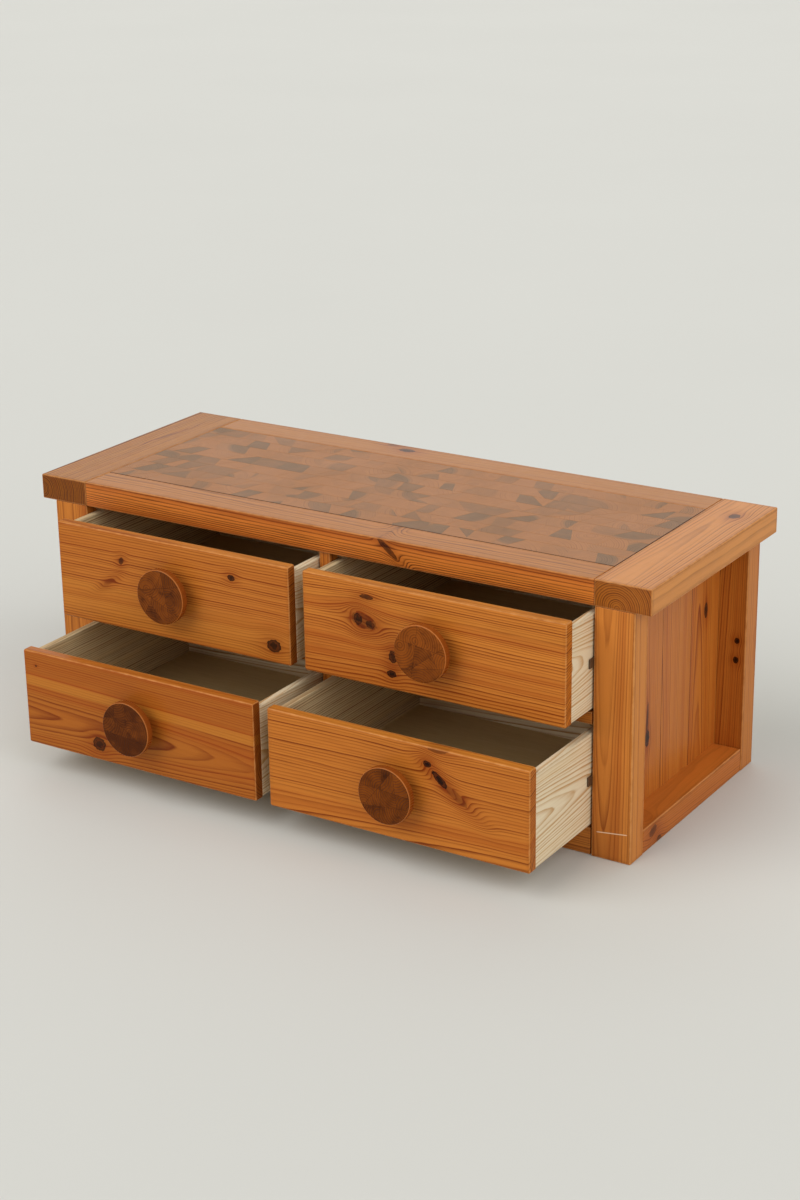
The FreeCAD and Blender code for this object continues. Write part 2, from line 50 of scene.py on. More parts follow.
class Wire:
    """A socket of a material. Arithmetic on it adds Math nodes to the material."""

    def __init__(self, tree, socket=None):
        self.tree = tree
        self.socket = socket

    def node(self, kind, settings, inputs, output=0):
        """Adds a node, sets its settings, then gives its sockets numbers or wires."""
        node = self.tree.nodes.new("ShaderNode" + kind)
        for key, value in settings.items():
            if key == "stops":
                ramp = node.color_ramp
                for place, shade in value[1:-1]:
                    ramp.elements.new(place)
                for stop, (place, shade) in zip(ramp.elements, value):
                    stop.position = place
                    stop.color = (shade, shade, shade, 1)
            else:
                setattr(node, key, value)
        for key, value in inputs.items():
            if isinstance(value, Wire):
                self.tree.links.new(value.socket, node.inputs[key])
            else:
                node.inputs[key].default_value = value
        return Wire(self.tree, node.outputs[output])

    def math(self, operation, *others):
        """This value alone, or with others, through a Math node."""
        return self.node("Math", {"operation": operation}, dict(enumerate((self,) + others)))

    def __add__(self, other):
        return self.math("ADD", other)

    def __radd__(self, other):
        return self.math("ADD", other)

    def __sub__(self, other):
        return self.math("SUBTRACT", other)

    def __rsub__(self, other):
        return self.node("Math", {"operation": "SUBTRACT"}, {0: other, 1: self})

    def __mul__(self, other):
        return self.math("MULTIPLY", other)

    def __rmul__(self, other):
        return self.math("MULTIPLY", other)

    def __truediv__(self, other):
        return self.math("DIVIDE", other)

    def __abs__(self):
        return self.math("ABSOLUTE")

    def least(self, other):
        """The smaller one of two values."""
        return self.math("MINIMUM", other)

    def most(self, other):
        """The larger one of two values."""
        return self.math("MAXIMUM", other)

    def limit(self):
        """This value kept between 0 and 1."""
        return self.most(0.0).least(1.0)

    def step(self, low, high):
        """0 up to low and 1 from high on, smooth between, or the other way round where high < low."""
        settings = {"interpolation_type": "SMOOTHSTEP"}
        if low < high:
            return self.node("MapRange", settings, {0: self, 1: low, 2: high})
        return self.node("MapRange", settings, {0: self, 1: high, 2: low, 3: 1.0, 4: 0.0})

    def ramp(self, *stops):
        """What these stops give for this value. A stop is a place from 0 to 1 and the value there."""
        grey = self.node("ValToRGB", {"stops": stops}, {0: self})
        return self.node("SeparateColor", {}, {0: grey})

    def chance(self):
        """A chance number from 0 to 1 that belongs to this value."""
        return self.node("TexWhiteNoise", {"noise_dimensions": "1D"}, {"W": self})

    def mix(self, first, second):
        """The first colour where this value is 0 and the second where it is 1."""
        return self.node("Mix", {"data_type": "RGBA"}, {0: self, 6: first, 7: second}, 2)

    def tint(self, tone):
        """This colour with its red, green and blue multiplied by those of a tone."""
        return self.node("Mix", {"data_type": "RGBA", "blend_type": "MULTIPLY"},
                         {0: 1.0, 6: self, 7: tone + (1.0,)}, 2)

    def axis(self, name):
        """The part of this place or direction along X, Y or Z."""
        return self.node("SeparateXYZ", {}, {0: self}, name)

    def stretch(self, x, y, z):
        """This place multiplied by these factors."""
        return self.node("VectorMath", {"operation": "MULTIPLY"}, {0: self, 1: (x, y, z)})

    def shift(self, x, y, z):
        """This place moved by these steps."""
        return self.node("VectorMath", {"operation": "ADD"}, {0: self, 1: (x, y, z)})

    def noise(self, scale, detail=2.0, rough=0.5):
        """Cloudy noise about 0, between -0.5 and 0.5, at this place."""
        return self.node("TexNoise", {}, {"Vector": self, "Scale": scale, "Detail": detail,
                                          "Roughness": rough}) - 0.5

    def bump(self, strength, distance):
        """The normals of a surface on which this value is the height."""
        return self.node("Bump", {}, {"Strength": strength, "Distance": distance, "Height": self})


def paint(red, green, blue):
    """A colour of 0 to 255 as the linear colour of a node."""
    parts = [c / 255 for c in (red, green, blue)]
    return tuple(c / 12.92 if c < 0.04045 else ((c + 0.055) / 1.055) ** 2.4 for c in parts) + (1.0,)


def blank(name):
    """A new material, the wire of the place on its piece, and its Principled shader."""
    material = bpy.data.materials.new(name)
    material.use_nodes = True
    tree = material.node_tree
    place = Wire(tree).node("TexCoord", {}, {}, "Object")
    return material, place, tree.nodes["Principled BSDF"]


def feed(shader, **inputs):
    """Links wires, or sets numbers, on the shader's sockets. An underscore in a name is a space."""
    for key, value in inputs.items():
        socket = shader.inputs[key.replace("_", " ")]
        if isinstance(value, Wire):
            value.tree.links.new(value.socket, socket)
        else:
            socket.default_value = value


floor_paint, place, shader = blank("pale_floor")
clouds = place.noise(0.8, 3.0)
tone = (clouds * 0.5 + 0.5).mix(paint(206, 206, 202), paint(214, 214, 210))
feed(shader, Base_Color=tone, Roughness=0.75)

floor_radius = 40.0
bpy.ops.object.select_all(action="DESELECT")
bpy.ops.mesh.primitive_circle_add(vertices=96, radius=floor_radius, fill_type="NGON", location=(0, 0, 0))
floor = bpy.context.object
floor.name = "floor"
floor.data.materials.append(floor_paint)

# The sky is brighter where the camera, a reflection or glass sees it than where it lights the piece.
sky_light, sky_gain = 0.55, 0.45
world = bpy.data.worlds.new("pale_sky")
bpy.context.scene.world = world
world.use_nodes = True
sky = world.node_tree
backdrop = sky.nodes["Background"]
backdrop.inputs["Color"].default_value = paint(216, 217, 213)
rays = sky.nodes.new("ShaderNodeLightPath")
seen = Wire(sky, rays.outputs["Is Camera Ray"])
for kind in ("Is Glossy Ray", "Is Transmission Ray"):
    seen = seen.most(Wire(sky, rays.outputs[kind]))
sky.links.new((seen * sky_gain + sky_light).socket, backdrop.inputs["Strength"])

for name, origin, power, spread in (
        ("window", (-0.45, -0.75, 0.75), 1.70, 55),
        ("fill", (0.85, -0.25, 0.55), 1.35, 60),
        ("behind", (-0.35, 0.80, 0.60), 0.50, 60)):
    lamp = bpy.data.lights.new(name, "SUN")
    lamp.energy = power
    lamp.angle = math.radians(spread)
    lamp.color = (1.0, 0.985, 0.96)
    holder = bpy.data.objects.new(name, lamp)
    bpy.context.scene.collection.objects.link(holder)
    holder.rotation_euler = Vector(origin).to_track_quat("Z", "Y").to_euler()

focal_length, sensor_width = 69.447, 36
camera_place = Vector((2.045614, -3.193652, 1.669540))
turn, rise, roll = (math.radians(a) for a in (-32.65, -20.272, -0.911))
ahead = Vector((math.sin(turn) * math.cos(rise), math.cos(turn) * math.cos(rise), math.sin(rise)))
side = Vector((math.cos(turn), -math.sin(turn), 0))
upward = side.cross(ahead)
camera_right = math.cos(roll) * side + math.sin(roll) * upward
camera_up = math.cos(roll) * upward - math.sin(roll) * side
lens = bpy.data.cameras.new("camera")
lens.lens = focal_length
lens.sensor_width = sensor_width
camera = bpy.data.objects.new("camera", lens)
bpy.context.scene.collection.objects.link(camera)
camera.matrix_world = Matrix((
    (camera_right.x, camera_up.x, -ahead.x, camera_place.x),
    (camera_right.y, camera_up.y, -ahead.y, camera_place.y),
    (camera_right.z, camera_up.z, -ahead.z, camera_place.z),
    (0, 0, 0, 1)))
bpy.context.scene.camera = camera
bpy.context.scene.view_settings.view_transform = "Standard"


# The frame of the top: two end boards the full depth of the top and two rails between them, of solid
# pine 44 mm thick under a satin lacquer. The end boards show their year rings at the front.

def year_rings(flow, fray, ring, line, seed):
    """
    The year rings at this distance from the heart. Gives how dark the late wood shows, and the slow
    swaths of wider and narrower years.
    """
    swath = flow.node("TexNoise", {"noise_dimensions": "1D"},
                      {"W": flow * 60.0 + seed, "Detail": 2.0, "Scale": 1.0}) - 0.5
    years = flow / ring + swath * 1.6 + fray * 0.6
    strength = years.math("FLOOR").chance()
    profile = years.math("FRACT").ramp((0.0, 0.1), (0.06, 0.0), (0.45, 0.06), (0.76, 0.55),
                                       (0.92, 1.0), (1.0, 0.12))
    return profile * (strength * strength * 0.8 + 0.4) * line, swath


def knot_shapes(u, v, knots, ragged):
    """
    The knots of a board, at its places u along and v across. Gives how far they push the rings aside,
    the halos round them, how far out of the nearest one a place lies, and the knots themselves.
    """
    pushes, halos, outs, cores = [], [], [], []
    for at, over, half_length, half_width, angle, dark in knots:
        c, s = math.cos(math.radians(angle)), math.sin(math.radians(angle))
        du = u - at
        dv = v - over
        a = du * (c / half_length) + dv * (s / half_length)
        b = dv * (c / half_width) - du * (s / half_width)
        square = a * a + b * b
        halo = (square * -0.16).math("EXPONENT")
        out = square + ragged * 1.5
        pushes.append(dv * (halo * 0.8))
        halos.append(halo)
        outs.append(out)
        cores.append(out.step(1.4, 1.1) * dark)
    push, halo, out, core = pushes[0], halos[0], outs[0], cores[0]
    for number in range(1, len(knots)):
        push = push + pushes[number]
        halo = halo + halos[number]
        out = out.least(outs[number])
        core = core.most(cores[number])
    return push, halo, out, core


def knot_tone(out, ragged):
    """The colour inside a knot: rings of dark and of brown wood."""
    ring = (out * 0.8).ramp((0.0, 0.0), (0.22, 0.1), (0.34, 0.7), (0.56, 0.5), (0.8, 0.0), (1.0, 0.1))
    return (ring + ragged * 0.5).step(0.0, 1.0).mix(paint(10, 3, 0), paint(84, 33, 4))


def from_edge(split, node):
    """How far a place on a node's surface lies from the nearest edge of the node's box."""
    low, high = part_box(node)
    reach = []
    for number, axis in enumerate("XYZ"):
        half = (high[number] - low[number]) / 2
        centre = (high[number] + low[number]) / 2
        reach.append(half - abs(split[axis] - centre))
    x, y, z = reach
    return x + y + z - x.least(y).least(z) - x.most(y).most(z)


def scratch_mark(split, scratch, rub):
    """A thin scratch across the front of a piece, broken here and there."""
    inner_half, outer_half, taper = 0.0005, 0.0011, 0.004
    (x0, z0), (x1, z1) = scratch
    slope = (z1 - z0) / (x1 - x0)
    half = (x1 - x0) / 2
    off = abs(split["Z"] - z0 - (split["X"] - x0) * slope)
    inside = abs(split["X"] - (x0 + x1) / 2).step(half, half - taper)
    return off.step(outer_half, inner_half) * inside * (rub * 1.5 + 0.9).step(0.2, 0.7)


def pine(name, node, along, across, heart, ring, lean=(0.0, 0.0), knots=(), early=(197, 119, 45),
         late=(114, 46, 8), wave=0.010, line=1.0, red=0.0, raw=False, planks=None, scratch=None,
         bands=(), end_tone_and_shade=(0.68, 0.56, 0.45), shine=0.24, soil=0.8, painted_light=(0.0, 0.0),
         gold=(196, 127, 48), seed=0.0, edge=0.5):
    """
    Pine cut from a trunk whose heart runs along one axis of the piece.

    node is the node whose edges get dirt, wear and a painted highlight, along and across are the axes
    of its length and width, heart is the heart's place across and in depth, and ring the width of a
    year. lean is where along the piece the heart is that deep and how fast it sinks, and wave how far
    the rings stray. early and late are the colours of the two halves of a year, and line is how
    strongly the late one shows. red is how much reddish wood there is, gold the colour of the lightest
    wood, and raw is True for wood without lacquer. planks is the first edge and the width of boards
    that lie side by side. A knot is its place along and across, half length, half width, turn and
    darkness. A band is its place across, half width, slope and strength, reddish above 0 and golden
    below. end_tone_and_shade is what the ends keep of the colour: the darker end grain, and on some
    drawer fronts painted shade as well. shine is the strength of the lacquer's reflections. soil is
    the strength of the dirt beside the edges, and edge that of the wear and painted highlight on them.
    painted_light is how much painted light the upper faces and the flanks get, which paints them
    lighter and more golden, scratch the two ends of a scratch, and seed moves the noise.
    """
    material, place, shader = blank(name)
    split = {axis: place.axis(axis) for axis in "XYZ"}
    depth = ({"X", "Y", "Z"} - {along, across}).pop()
    u, v, d = split[along], split[across], split[depth]
    drawn = place.stretch(*(1.0 if a == along else 6.0 for a in "XYZ"))
    drawn = drawn.shift(seed, seed * 1.7, seed * 0.3)
    middle, deep = heart
    if planks:
        start, width = planks
        number = ((v - start) / width).math("FLOOR")
        board_tone = (number + seed).chance()
        middle = (number + 0.5) * width + start + (board_tone - 0.5) * (width * 2.4)

    # The rings, and the knots that push them aside.
    across_heart = v - middle
    if knots:
        ragged = place.noise(190.0, 3.0)
        push, halo, out, core = knot_shapes(u, v, knots, ragged)
        across_heart = across_heart - push
    sink = d - deep + (u - lean[0]) * lean[1]
    sway = drawn.noise(1.5, 1.5)
    flow = (across_heart * across_heart + sink * sink).math("SQRT") + sway * wave
    late_wood, swath = year_rings(flow, drawn.noise(9.0, 2.0), ring, line, seed)
    if knots:
        late_wood = late_wood * (halo * 0.6 + 1.0)

    # Painted light: the upper faces and the flanks are painted lighter and more golden, with fainter
    # late wood, and on upper faces fainter knots, where light from above and from the side and the
    # lacquer's sheen fall on them.
    normal = place.node("NewGeometry", {}, {}, "Normal")
    light = None
    if any(painted_light):
        upper = normal.axis("Z").step(0.3, 0.9)
        flank = abs(normal.axis("X")).step(0.3, 0.9)
        light = upper * painted_light[0] + flank * painted_light[1]
        if knots and along + across == "XZ":
            core = core * (1.0 - upper * 0.7)
            halo = halo * (1.0 - upper * 0.7)
        late_wood = late_wood * (1.0 - light * 0.8)

    # The colour of the wood.
    if raw:
        ruddy, shady, golden = paint(212, 180, 130), paint(176, 150, 112), paint(226, 208, 176)
    else:
        ruddy, shady, golden = paint(160, 76, 20), paint(138, 80, 28), paint(*gold)
    fibre = drawn.stretch(*(0.25 if a == along else 1.0 for a in "XYZ")).noise(45.0, 3.0, 0.65)
    cloud = drawn.noise(0.9, 2.0)
    ground = paint(*early)
    reddish = (cloud * 0.9 + swath * 0.9 + (0.12 + red)).step(0.0, 0.9)
    if light is not None:
        ground = light.mix(ground, golden)
        reddish = reddish * (1.0 - light)
    colour = (late_wood + fibre * (0.55 * line)).limit().mix(ground, paint(*late))
    colour = reddish.mix(colour, ruddy)
    colour = ((swath * -1.2 - cloud * 0.6).step(0.1, 0.8) * 0.5).mix(colour, golden)
    for over, half, slope, strength in bands:
        off = abs(v - over - u * slope + sway * 0.01)
        band = off.step(half, half * 0.7) * abs(strength)
        colour = band.mix(colour, ruddy if strength > 0 else golden)
    shadow = drawn.noise(2.2, 3.0, 0.6)
    colour = (shadow.step(0.05, 0.45) * 0.35).mix(colour, shady)
    if planks:
        joint_half, joint_shade = 0.0004, 0.0013
        colour = (board_tone.step(0.0, 1.0) * 0.55).mix(colour, ruddy)
        off = abs(((v - start) / width).math("FRACT") - 0.5) * width
        joint = off.step(width / 2 - joint_shade, width / 2 - joint_half)
        colour = (joint * 0.6).mix(colour, paint(70, 34, 12))
    if knots:
        colour = (halo * 0.5).least(0.65).mix(colour, paint(134, 56, 8))
        colour = core.mix(colour, knot_tone(out, ragged))

    # The ends, the dirt beside the edges, the wear along them with a painted highlight, and the scratch.
    # The ends are darker: their end grain, and on the two left drawer fronts painted shade from the
    # front beside them as well.
    end = abs(normal.axis(along)).step(0.6, 0.95)
    colour = end.mix(colour, colour.tint(end_tone_and_shade))
    if not raw:
        colour = (end * late_wood * 0.75).mix(colour, paint(78, 36, 10))
    wear_highlight_inner, wear_highlight_outer = 0.0008, 0.0026
    grime_inner, grime_outer = 0.002, 0.009
    arris = from_edge(split, node)
    rub = place.noise(60.0, 3.0, 0.6)
    # Partly real wear and partly a painted highlight: a pale line along each rounded edge.
    wear_and_highlight = (arris + rub * 0.003).step(wear_highlight_outer, wear_highlight_inner) * edge
    grime = (arris + rub * 0.008).step(grime_outer, grime_inner) * (rub + 0.35)
    if raw:
        colour = (wear_and_highlight * 0.4).mix(colour, paint(214, 200, 170))
        colour = (grime * 0.35).mix(colour, paint(150, 124, 88))
    else:
        colour = (grime * soil).mix(colour, paint(120, 62, 22))
        colour = wear_and_highlight.mix(colour, paint(206, 142, 82))
    if scratch:
        colour = scratch_mark(split, scratch, rub).mix(colour, paint(232, 200, 168))

    relief = late_wood * 0.6 + fibre * 0.4 + rub * 0.15
    feed(shader, Base_Color=colour, Normal=relief.bump(0.22 if raw else 0.12, 0.0006),
         Specular_IOR_Level=shine)
    if raw:
        feed(shader, Roughness=0.72 - late_wood * 0.1)
    else:
        feed(shader, Roughness=0.34 + rub * 0.12 + late_wood * 0.05 + grime * 0.2)
    return material


def dress(name, material):
    """Gives a node of the frame its finish."""
    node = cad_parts[name]
    if not node.material_slots:
        node.data.materials.append(material)
    for slot in node.material_slots:
        slot.material = material


dress("top_end_board_right", pine(
    "pine_end_board_right", "top_end_board_right", "Y", "X", (0.541, 0.428), 0.0036, (0.0, 0.004),
    early=(190, 118, 42), late=(112, 58, 14), line=1.1, painted_light=(0.35, 0.8), gold=(210, 139, 68),
    shine=0.18, end_tone_and_shade=(0.74, 0.63, 0.52), seed=3.1,
    knots=((0.1523, 0.5584, 0.011, 0.008, 0, 0.8),)))
dress("top_end_board_left", pine(
    "pine_end_board_left", "top_end_board_left", "Y", "X", (-0.600, 0.445), 0.0036, (0.0, -0.004),
    early=(166, 103, 22), late=(100, 48, 8), line=1.9, painted_light=(0.35, 0.3), gold=(180, 115, 30),
    shine=0.15, seed=5.7,
    knots=((0.070, -0.554, 0.030, 0.0016, 6, 0.5),)))
dress("top_front_rail", pine(
    "pine_front_rail", "top_front_rail", "X", "Z", (0.53, -0.17), 0.0036, (0.1, 0.01),
    early=(212, 121, 47), late=(62, 23, 3), line=1.9, painted_light=(0.75, 0.0), gold=(162, 104, 28),
    shine=0.16, seed=8.2,
    knots=((0.125, 0.4545, 0.022, 0.0045, -40, 0.75),)))
dress("top_back_rail", pine(
    "pine_back_rail", "top_back_rail", "X", "Y", (0.26, 0.42), 0.0036, (0.0, 0.01),
    early=(172, 106, 28), late=(108, 54, 10), line=1.2, painted_light=(0.4, 0.0), gold=(174, 110, 36),
    shine=0.19, seed=1.3,
    knots=((-0.1137, 0.2078, 0.014, 0.008, 0, 0.8), (-0.1548, 0.2252, 0.010, 0.004, 10, 0.5))))


# The support panel: birch plywood in a groove round the frame, under the blocks of the top. The back
# panel and the drawer bottoms have the same finish.

def plywood(name, along, seed):
    """Birch plywood with faint straight grain along one axis."""
    material, place, shader = blank(name)
    drawn = place.stretch(*(1.0 if a == along else 14.0 for a in "XYZ")).shift(seed, seed, seed)
    broad = drawn.noise(1.5, 3.0)
    fine = drawn.noise(22.0, 3.0, 0.6)
    tone = (broad * 0.5 + fine * 0.9 + 0.5).mix(paint(214, 187, 136), paint(182, 152, 102))
    feed(shader, Base_Color=tone, Roughness=0.6 + fine * 0.15, Normal=fine.bump(0.15, 0.0004))
    return material


dress("top_support_panel", plywood("plywood_support", "X", 2.0))


# The inlay: blocks of end-grain pine glued side by side in eight uneven rows, sanded flush with the
# frame and lacquered. Each block has its own rings, and the ones from the heart of a trunk are darker.

def end_grain(name, flat, pale, dark, gloss, shine, pitch, lines, blotch, marks=0.0, half_sizes=None):
    """
    End-grain pine in blocks. Each face knows its block's heart, tone, seam and rim from attributes.

    flat names the two axes in which the rings lie. pale and dark are the colours of the lightest and
    the darkest block, gloss is the roughness and shine the strength of the reflections. pitch is the
    width of a year, lines the strength of its dark part, blotch that of the stains and marks that of
    the darkest ones. half_sizes are those of a panel with a dark joint round it.
    """
    material, place, shader = blank(name)
    heart = place.node("Attribute", {"attribute_name": "heart"}, {}, "Vector")
    tone = place.node("Attribute", {"attribute_name": "tone"}, {}, "Fac")
    seam = place.node("Attribute", {"attribute_name": "seam"}, {}, "Fac")
    rim = place.node("Attribute", {"attribute_name": "rim"}, {}, "Fac")

    apart = place.node("VectorMath", {"operation": "SUBTRACT"}, {0: place, 1: heart})
    a, b = apart.axis(flat[0]), apart.axis(flat[1])
    flow = (a * a + b * b).math("SQRT") + place.noise(40.0, 2.0) * 0.0035
    years = flow / pitch + tone * 7.0
    strength = years.math("FLOOR").chance()
    ring = years.math("FRACT").ramp((0.0, 0.1), (0.1, 0.0), (0.5, 0.15), (0.85, 0.8),
                                    (0.94, 1.0), (1.0, 0.1)) * (strength * 0.7 + 0.3)

    cloud = place.noise(9.0, 3.0)
    stain = place.noise(48.0, 4.0, 0.6)
    speck = place.noise(320.0, 3.0, 0.7)
    heartwood = (flow + stain * 0.014).step(0.056, 0.046)
    shade = tone.step(0.0, 1.0) * (heartwood * 0.75 + 0.25) + cloud * 0.5 + stain * blotch
    colour = shade.limit().mix(paint(*pale), paint(*dark))
    colour = (ring * lines + speck * 0.4).mix(colour, colour.tint((0.52, 0.46, 0.38)))
    if marks:
        colour = (stain.step(0.1, 0.26) * marks).mix(colour, paint(48, 22, 6))
    colour = (rim.step(0.5, 1.0) * 0.7).mix(colour, paint(146, 74, 24))
    # Painted highlight: the eased edge between a knob's front and its rim (rim 0.5) is painted pale
    # orange all round.
    colour = ((0.5 - abs(rim - 0.5)) * 1.1).mix(colour, paint(208, 128, 66))
    colour = (seam * 0.55).mix(colour, paint(42, 20, 8))
    if half_sizes:
        joint_width, joint_shade = 0.0007, 0.0017
        x = half_sizes[0] - abs(place.axis(flat[0]))
        y = half_sizes[1] - abs(place.axis(flat[1]))
        joint = x.least(y).step(joint_shade, joint_width)
        colour = (joint * 0.7).mix(colour, paint(56, 28, 12))

    relief = ring * 0.5 + speck * 0.3
    feed(shader, Base_Color=colour, Roughness=gloss + cloud * 0.12 + ring * 0.05,
         Normal=relief.bump(0.12, 0.0005), Specular_IOR_Level=shine)
    return material


def mark(mesh, name, kind, values):
    """Writes one value for each face of the mesh."""
    layer = mesh.attributes.get(name) or mesh.attributes.new(name, kind, "FACE")
    if kind == "FLOAT_VECTOR":
        layer.data.foreach_set("vector", [c for value in values for c in value])
    else:
        layer.data.foreach_set("value", values)


def pick(mesh, test):
    """Selects just the faces that pass the test, in edit mode."""
    bpy.ops.mesh.select_all(action="DESELECT")
    shape = bmesh.from_edit_mesh(mesh)
    for face in shape.faces:
        if test(face):
            face.select_set(True)
    bmesh.update_edit_mesh(mesh)


low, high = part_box("top_endgrain_panel")
chance = random.Random(41)
bpy.ops.object.select_all(action="DESELECT")
bpy.ops.mesh.primitive_plane_add(size=1, location=(0, 0, high[2]))
inlay = bpy.context.object
inlay.name = "top_inlay"
inlay.scale = (high[0] - low[0], high[1] - low[1], 1)
bpy.ops.object.transform_apply(location=True, rotation=True, scale=True)

# The panel is cut into rows, which are numbered from the front.
rows = 8
row_depth = (high[1] - low[1]) / rows
row_sway, row_slope = 0.003, 0.012
bpy.ops.object.mode_set(mode="EDIT")
bpy.ops.mesh.select_mode(type="FACE")
for row in range(1, rows):
    bpy.ops.mesh.select_all(action="SELECT")
    y = low[1] + row * row_depth + chance.uniform(-row_sway, row_sway)
    bpy.ops.mesh.bisect(plane_co=(0, y, high[2]), plane_no=(chance.uniform(-row_slope, row_slope), 1, 0))
bpy.ops.object.mode_set(mode="OBJECT")
front_to_back = sorted(range(rows), key=lambda i: inlay.data.polygons[i].center.y)
row_numbers = inlay.data.attributes.new("strip", "INT", "FACE")
for row, face in enumerate(front_to_back):
    row_numbers.data[face].value = row


def row_of(face):
    """The number of the row in which a face of the inlay lies, in edit mode."""
    return face[bmesh.from_edit_mesh(inlay.data).faces.layers.int["strip"]]


# Each row is cut into blocks from the left, and then some of the largest blocks are cut once more.
first_least, first_most, last_least = 0.02, 0.05, 0.02
block_least, block_most, block_slope = 0.032, 0.068, 0.55
extra_cuts, largest, cut_sway = 46, 60, 0.006
bpy.ops.object.mode_set(mode="EDIT")
for row in range(rows):
    x = low[0] + chance.uniform(first_least, first_most)
    y = low[1] + (row + 0.5) * row_depth
    while x < high[0] - last_least:
        pick(inlay.data, lambda face: row_of(face) == row)
        slope = chance.uniform(-block_slope, block_slope)
        bpy.ops.mesh.bisect(plane_co=(x, y, high[2]), plane_no=(1, slope, 0))
        x += chance.uniform(block_least, block_most)
for cut in range(extra_cuts):
    shape = bmesh.from_edit_mesh(inlay.data)
    widest = sorted(shape.faces, key=lambda face: -round(face.calc_area(), 9))[:largest]
    centre = chance.choice(widest).calc_center_median()
    pick(inlay.data, lambda face: (face.calc_center_median() - centre).length < 1e-6)
    slope = chance.choice((chance.uniform(-0.5, 0.5), chance.uniform(0.9, 2.2),
                           chance.uniform(-2.2, -0.9)))
    x = centre.x + chance.uniform(-cut_sway, cut_sway)
    bpy.ops.mesh.bisect(plane_co=(x, centre.y, high[2]), plane_no=(1, slope, 0))
bpy.ops.object.mode_set(mode="OBJECT")

# Each block gets a tone and a heart. A dark block seldom lies beside another one.
dark_spacing = 0.036
dark_alone, dark_beside = 0.60, 0.12
heart_nearest, heart_farthest = 0.005, 0.07
blocks = inlay.data.polygons
tones, hearts = {}, {}
darks = []
order = sorted(range(len(blocks)), key=lambda i: (round(blocks[i].center.x, 4), blocks[i].center.y))
chance.shuffle(order)
for i in order:
    centre = blocks[i].center
    alone = all((centre - other).length > dark_spacing for other in darks)
    dark = chance.random() < (dark_alone if alone else dark_beside)
    tones[i] = chance.uniform(0.4, 1.0) if dark else chance.uniform(0.0, 0.32)
    if dark:
        darks.append(centre.copy())
    far = chance.uniform(heart_nearest, heart_farthest)
    angle = chance.uniform(0, math.tau)
    hearts[i] = (centre.x + far * math.cos(angle), centre.y + far * math.sin(angle), 0.0)
mark(inlay.data, "tone", "FLOAT", [tones[i] for i in range(len(blocks))])
mark(inlay.data, "heart", "FLOAT_VECTOR", [hearts[i] for i in range(len(blocks))])

# The joints between the blocks lie a little low, and the panel gets its thickness.
joint_half, joint_depth = 0.0004, 0.00014
bpy.ops.object.mode_set(mode="EDIT")
bpy.ops.mesh.select_all(action="SELECT")
bpy.ops.mesh.inset(thickness=joint_half, use_individual=True)
shape = bmesh.from_edit_mesh(inlay.data)
for vert in shape.verts:
    if not vert.select:
        vert.co.z -= joint_depth
bpy.ops.mesh.select_mode(type="EDGE")
bpy.ops.mesh.select_all(action="DESELECT")
shape = bmesh.from_edit_mesh(inlay.data)
for edge in shape.edges:
    edge.select_set(edge.is_boundary)
bmesh.update_edit_mesh(inlay.data)
bpy.ops.mesh.extrude_region_move(
    TRANSFORM_OT_translate={"value": (0, 0, low[2] - high[2] + joint_depth)})
bpy.ops.mesh.edge_face_add()
bpy.ops.mesh.select_all(action="SELECT")
bpy.ops.mesh.normals_make_consistent(inside=False)
bpy.ops.object.mode_set(mode="OBJECT")
inlay.data.materials.append(end_grain(
    "inlay_blocks", "XY", pale=(162, 99, 31), dark=(117, 77, 27), gloss=0.38, shine=0.21,
    pitch=0.0040, lines=0.9, blotch=0.7, half_sizes=(high[0], high[1])))
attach(inlay, "case")
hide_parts("top_endgrain_panel")


# The corner posts: 70 x 45 mm pine, wide face to the front, tenoned up into the end boards. The right
# front one has a long pale scratch near the floor.

dress("front_post_right", pine(
    "pine_front_post_right", "front_post_right", "Z", "X", (0.525, -0.195), 0.0028, (0.2, 0.012),
    early=(204, 126, 54), line=0.8, shine=0.14, painted_light=(0.0, 0.35), seed=11.0, edge=0.7,
    scratch=((0.5101, 0.0448), (0.5669, 0.0516))))
dress("front_post_left", pine(
    "pine_front_post_left", "front_post_left", "Z", "X", (-0.545, -0.200), 0.0030,
    shine=0.14, painted_light=(0.0, 0.35), seed=12.4))
dress("back_post_right", pine(
    "pine_back_post_right", "back_post_right", "Z", "X", (0.500, 0.235), 0.0030, (0.2, 0.02),
    red=0.2, shine=0.14, painted_light=(0.0, 0.4), seed=13.9,
    knots=((0.238, 0.556, 0.0050, 0.0042, 0, 0.95), (0.203, 0.555, 0.0058, 0.0045, 0, 0.95))))
dress("back_post_left", pine(
    "pine_back_post_left", "back_post_left", "Z", "X", (-0.55, 0.255), 0.0030,
    shine=0.14, painted_light=(0.0, 0.4), seed=15.2))


# The sides: four upright pine boards on each side, tongued together and housed in the posts, and a
# rail at the floor in front of them.

